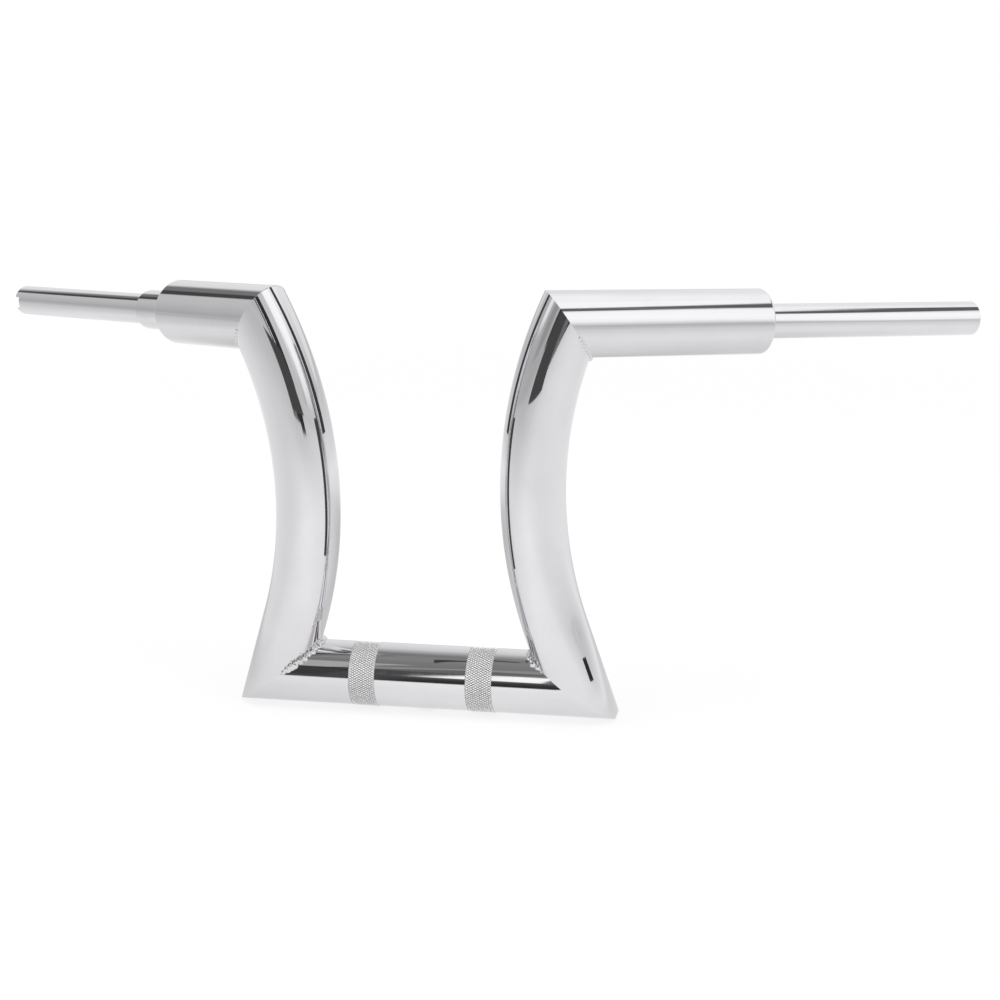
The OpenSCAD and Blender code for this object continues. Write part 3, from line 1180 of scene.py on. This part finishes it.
WALLS = (
    StudioWall("rear", 180.0, 180.0, 1.0, (
        (-10, 0.80), (0, 0.86), (20, 0.86), (35, 0.80), (46, 0.74), (56, 0.52), (66, 0.33), (75, 0.25),
        (90, 0.22))),
    StudioWall("right_rear", 156.0, 26.0, 8.0, (
        (-10, 0.80), (0, 0.88), (20, 0.95), (34, 0.95), (50, 1.1), (62, 1.1), (71, 0.4), (78, 0.25))),
    StudioWall("right_gap", 110.0, 22.0, 5.0, (
        (-10, 0.50), (0, 0.60), (12, 0.8), (20, 1.0), (41, 1.0), (43.5, 0.13), (50.5, 0.13), (52.5, 1.15),
        (63, 1.15), (71, 0.4), (78, 0.25))),
    StudioWall("right_softbox", 74.0, 14.5, 3.0, (
        (-10, 0.44), (-1, 0.50), (4, 0.62), (9, 0.84), (15, 1.08), (25, 1.18), (41, 1.15), (44, 0.9),
        (45.5, 0.12), (51, 0.12), (53, 1.15), (63, 1.1), (71, 0.4), (78, 0.25))),
    StudioWall("right_low_softbox", 76.5, 8.5, 3.0, (
        (-10, 0.55), (-1, 0.7), (3, 0.95), (8, 1.12), (25, 1.18), (41, 1.15), (44, 0.9), (45.5, 0.12),
        (51, 0.12), (53, 1.15), (63, 1.1), (71, 0.4), (78, 0.25))),
    StudioWall("right_grey", 52.0, 8.0, 4.0, ((-10, 0.55), (10, 0.66), (40, 0.66), (60, 0.5), (78, 0.25))),
    StudioWall("right_front_gap", 34.5, 8.5, 2.0, ((-10, 0.04), (50, 0.05), (70, 0.2), (78, 0.25))),
    StudioWall("left", -81.0, 35.0, 3.0, (
        (-10, 0.42), (-5, 0.43), (8, 0.52), (20, 0.60), (27, 0.62), (45, 0.5), (60, 0.35), (78, 0.25))),
    StudioWall("left_front", -55.0, 9.0, 6.0, ((-10, 0.36), (17, 0.34), (40, 0.36), (60, 0.3), (78, 0.25))),
    StudioWall("left_softbox", -79.5, 6.5, 2.0, (
        (-10, 0.42), (4, 0.50), (7, 0.95), (40, 0.95), (44, 0.4), (78, 0.25))),
    StudioWall("left_rear_shade", -130.5, 12.0, 8.0, (
        (-10, 0.80), (19, 0.80), (22, 0.74), (25, 0.20), (60, 0.22), (78, 0.25))),
    StudioWall("left_rear_dark", -121.5, 5.5, 2.5, (
        (-10, 0.62), (20, 0.62), (22, 0.60), (24, 0.06), (60, 0.10), (78, 0.25))),
    StudioWall("front_middle", 8.0, 18.0, 2.0, (
        (-10, 0.85), (0, 0.62), (6, 0.56), (12, 0.6), (18, 0.95), (22, 1.05), (38, 1.1), (42, 0.2),
        (78, 0.25))),
    StudioWall("left_front_gap", -33.5, 13.5, 3.0, (
        (-10, 0.52), (3, 0.52), (5, 0.07), (36, 0.07), (40, 0.18), (60, 0.22), (78, 0.25))),
    StudioWall("front_dark", -14.3, 5.4, 1.0, (
        (-10, 0.10), (-2, 0.075), (35, 0.075), (37, 0.15), (47, 0.16), (51.5, 0.32), (58, 0.25), (65, 0.18),
        (71, 0.14), (74, 0.16), (80, 0.24))),
    StudioWall("front_strip", -11.1, 3.4, 0.8, (
        (-10, 0.05), (0, 0.03), (10, 0.04), (18, 0.10), (20.5, 1.15), (36, 1.2), (39, 0.28), (45, 0.2),
        (58, 0.16), (74, 0.15), (80, 0.24))),
)


@dataclass(frozen=True)
class Flag:
    """A flat panel that only the chrome shows, as a dark gap or a light edge."""

    name: str
    low: Tuple[float, float, float]
    along: Tuple[float, float, float]
    up: Tuple[float, float, float]
    tone: float

    def hang(self) -> None:
        """Adds the panel, spread from its low corner by its two edges."""
        Bench.clear()
        bpy.ops.mesh.primitive_plane_add(size=1.0)
        panel = bpy.context.active_object
        panel.name = panel.data.name = self.name
        along, up = Vector(self.along), Vector(self.up)
        middle = Vector(self.low) + along / 2 + up / 2
        panel.matrix_world = Matrix.Translation(middle) @ Matrix(
            (along, up, along.cross(up).normalized())).transposed().to_4x4()
        Bench.settle()
        material, tree = ShaderTree.of_material(self.name)
        tree.surface(tree.node("ShaderNodeEmission", {}, {"Color": grey(self.tone), "Strength": 1.0}))
        panel.data.materials.append(material)
        panel.visible_camera = panel.visible_diffuse = False
        panel.visible_shadow = panel.visible_transmission = False


FLAGS = (
    Flag("right_gap_flag", (0.61, -1.2, -0.02), (0.34, 0.0, 0.0), (0.0, 0.0, 1.6), 0.03),
    Flag("right_edge_flag", (0.57, -1.2, 0.33), (0.035, 0.0, 0.0), (0.0, 0.0, 1.2), 1.1),
    Flag("left_gap_flag", (-0.92, -1.2, 0.15), (0.5, 0.0, 0.0), (0.0, 0.0, 0.83), 0.05),
    Flag("left_light_flag", (-0.42, -0.52, 0.4), (0.17, 0.0, 0.0), (0.0, 0.0, 0.5), 0.45),
    Flag("head_near_flag", (-0.045, -0.167, 0.19), (0.12, 0.0, 0.0), (0.0, -0.078, 0.086), 0.07),
    Flag("head_middle_flag", (0.015, -0.42, 0.14), (0.09, 0.0, 0.0), (0.0, 0.0, 0.105), 0.17),
    Flag("head_dark_flag", (0.105, -0.42, 0.14), (0.07, 0.0, 0.0), (0.0, 0.0, 0.105), 0.03),
    Flag("head_between_flag", (0.0, 0.003, 0.183), (0.0, 0.022, 0.0), (0.0, 0.0, 0.217), 0.05),
    Flag("foot_between_flag", (0.0, -0.03, 0.06), (0.0, 0.014, 0.0), (0.0, 0.0, 0.14), 0.06),
    Flag("foot_spot_flag", (0.2, -0.043, 0.006), (0.0, 0.022, 0.004), (0.0, 0.0, 0.019), 0.03),
)


@dataclass
class Studio:
    """The floor, the soft lights, the flags that the chrome mirrors, and the camera."""

    floor_height: float = -24.2 * MM
    floor_size: float = 40.0
    # Tones of the painted light that the chrome sees on the floor, by distance: to the sides, in front and
    # behind.
    painted_light_floor_sides: Tuple[Tuple[float, float], ...] = (
        (0.0, 0.87), (0.3, 0.88), (0.45, 0.85), (0.6, 0.77), (0.9, 0.66), (1.5, 0.55), (3.0, 0.45))
    painted_light_floor_front: Tuple[Tuple[float, float], ...] = (
        (0.0, 1.0), (0.3, 1.0), (0.45, 1.0), (0.6, 0.9), (0.75, 0.8), (1.0, 0.68), (1.4, 0.62), (3.0, 0.6))
    floor_rear: Tuple[Tuple[float, float], ...] = (
        (0.0, 0.7), (0.15, 0.6), (0.3, 0.54), (0.42, 0.62), (0.52, 0.82), (0.7, 0.92), (1.0, 0.75),
        (3.0, 0.6))
    focal_px: float = 2158.04
    eye: Tuple[float, float, float] = (0.37669, -1.45152, 0.62373)
    yaw: float = -0.21471
    dip: float = 0.31398
    roll: float = -0.0291

    def build(self) -> None:
        """Sets up everything round the object."""
        self.camera()
        self.world()
        self.floor()
        self.lamps()
        for flag in FLAGS:
            flag.hang()
        view = bpy.context.scene.view_settings
        view.view_transform = "Standard"

    def camera(self) -> None:
        """The camera at the photograph's viewing angle, framed for a square picture."""
        data = bpy.data.cameras.new("camera")
        data.sensor_fit = "HORIZONTAL"
        data.sensor_width = 36.0
        data.lens = self.focal_px / 1000.0 * 36.0
        data.clip_start, data.clip_end = 0.05, 60.0
        eye = bpy.data.objects.new("camera", data)
        bpy.context.scene.collection.objects.link(eye)
        ahead = Vector((math.sin(self.yaw) * math.cos(self.dip), math.cos(self.yaw) * math.cos(self.dip),
                        -math.sin(self.dip)))
        right = Vector((math.cos(self.yaw), -math.sin(self.yaw), 0.0))
        up = right.cross(ahead)
        level = math.cos(self.roll) * right + math.sin(self.roll) * up
        top = -math.sin(self.roll) * right + math.cos(self.roll) * up
        turn = Matrix((level, top, -ahead)).transposed().to_4x4()
        eye.matrix_world = Matrix.Translation(self.eye) @ turn
        bpy.context.scene.camera = eye

    def world(self) -> None:
        """White for the camera, the studio's walls for the chrome and a plain soft light otherwise."""
        world = bpy.data.worlds.new("studio")
        bpy.context.scene.world = world
        world.use_nodes = True
        tree = ShaderTree(world.node_tree)
        across, deep, high = tree.parts(tree.node("ShaderNodeTexCoord", out="Generated"))
        rise = high.arcsine() * math.degrees(1.0)
        turn = across.bearing(-deep) * math.degrees(1.0)
        room: object = grey(0.5)
        for wall in WALLS:
            room = wall.hang(tree, room, turn, rise)
        path = "ShaderNodeLightPath"
        lit = tree.mix_colour(tree.node(path, out="Is Glossy Ray"), grey(0.55 / BRIGHTEST), room)
        shown = tree.node(path, out="Is Camera Ray") + tree.node(path, out="Is Transmission Ray")
        seen = tree.mix_colour(shown.band(0.0, 1.0), lit, grey(1.0 / BRIGHTEST))
        back = tree.node("ShaderNodeBackground", {}, {"Color": seen, "Strength": BRIGHTEST})
        tree.node("ShaderNodeOutputWorld", {}, {0: back})

    def floor(self) -> None:
        """A pale floor that keeps the object's soft shadow, and that shows the chrome painted light which
        falls off away from the bar.
        """
        Bench.clear()
        bpy.ops.mesh.primitive_plane_add(size=self.floor_size, location=(0.0, 0.0, self.floor_height))
        floor = bpy.context.active_object
        floor.name = floor.data.name = "studio_floor"
        material, tree = ShaderTree.of_material("floor_paper")
        across, deep, _ = tree.parts(tree.coordinates())
        reach = (across * across + deep * deep) ** 0.5
        facing = -deep / (reach + 0.01)
        # Painted light for glossy rays: it falls off with distance, differs to the sides, in front and
        # behind, and is lighter towards the clutch side.
        sides, front, rear = (tree.tone_curve(reach, 0.0, 4.0, stops) for stops in (
            self.painted_light_floor_sides, self.painted_light_floor_front, self.floor_rear))
        tone = tree.mix_colour(facing.band(0.0, 1.0) ** 6.0, sides, front)
        tone = tree.mix_colour((-facing).band(-0.6, 0.6), tone, rear)
        tone = tree.mix_colour((across / (reach + 0.01)).band(0.2, 0.8) * 0.35, tone, grey(1.0))
        paper = tree.node("ShaderNodeBsdfDiffuse", {}, {"Color": (0.96, 0.96, 0.96, 1.0)})
        white = tree.node("ShaderNodeEmission", {}, {"Color": (1.0, 1.0, 1.0, 1.0), "Strength": 1.0})
        painted_floor_light = tree.node("ShaderNodeEmission", {}, {"Color": tone, "Strength": 1.0})
        camera = tree.node("ShaderNodeLightPath", out="Is Camera Ray")
        glossy = tree.node("ShaderNodeLightPath", out="Is Glossy Ray")
        lift = camera * reach.band(0.5, 1.3, 0.82, 1.0)
        shown = tree.node("ShaderNodeMixShader", {}, {0: lift, 1: paper, 2: white})
        tree.surface(tree.node("ShaderNodeMixShader", {}, {0: glossy * 0.9, 1: shown, 2: painted_floor_light}))
        floor.data.materials.append(material)

    @staticmethod
    def lamp(name: str, at: Point, aim: Point, size: Tuple[float, float], watts: float,
             tint: Tuple[float, float, float] = (1.0, 1.0, 1.0)) -> None:
        """Adds a soft rectangular lamp that neither the chrome nor the camera shows.

        Args:
            name: its name.
            at: its place.
            aim: the point that it faces.
            size: its width and height.
            watts: its power.
            tint: its colour.
        """
        data = bpy.data.lights.new(name, "AREA")
        data.shape = "RECTANGLE"
        data.size, data.size_y = size
        data.energy = watts
        data.color = tint
        made = bpy.data.objects.new(name, data)
        bpy.context.scene.collection.objects.link(made)
        made.location = at
        made.rotation_euler = (Vector(aim) - Vector(at)).to_track_quat("-Z", "Y").to_euler()
        made.visible_glossy = False
        made.visible_camera = False

    def lamps(self) -> None:
        """A large overhead lamp and two side lamps."""
        self.lamp("overhead_lamp", (0.0, -0.2, 2.0), (0.0, 0.0, 0.1), (2.2, 1.6), 26.0)
        self.lamp("right_lamp", (2.0, -0.8, 1.1), (0.1, 0.0, 0.15), (1.0, 1.4), 10.0, (1.0, 0.985, 0.96))
        self.lamp("left_lamp", (-2.0, -0.6, 1.0), (-0.1, 0.0, 0.15), (1.0, 1.4), 8.0, (0.97, 0.985, 1.0))


# Assembly of the whole bar


def main() -> None:
    """Builds the studio and every sub-assembly of the bar in order."""
    logging.basicConfig(level=logging.INFO, format="%(name)s %(message)s")
    Studio().build()
    ClampTube().build()
    for side in Side:
        Riser(side=side).build()
    Arm(side=Side.CLUTCH).build()
    Arm(side=Side.THROTTLE, shoulder_length=102.0 * MM, grip_radius=11.5 * MM, grip_length=184.0 * MM,
        grip_wall=2.0 * MM, slots=((14.0 * MM, 28.0 * MM), (50.0 * MM, 28.0 * MM)),
        collar_radius=14.75 * MM, collar_length=40.0 * MM,
        notch_width=9.0 * MM, notch_depth=6.0 * MM).build()
    WeldBead(side=Side.THROTTLE).build()
    WeldBead(side=Side.CLUTCH, ground_from=math.radians(34.0), front_sweep=math.radians(48.0)).build()
    for side in Side:
        WeldBead(side=side, name="head_weld", radius=2.6 * MM, rear_sweep=math.radians(62.0),
                 front_sweep=math.radians(100.0), ground_from=math.radians(30.0), ground_width=0.75).build()


if __name__ == "__main__":
    main()
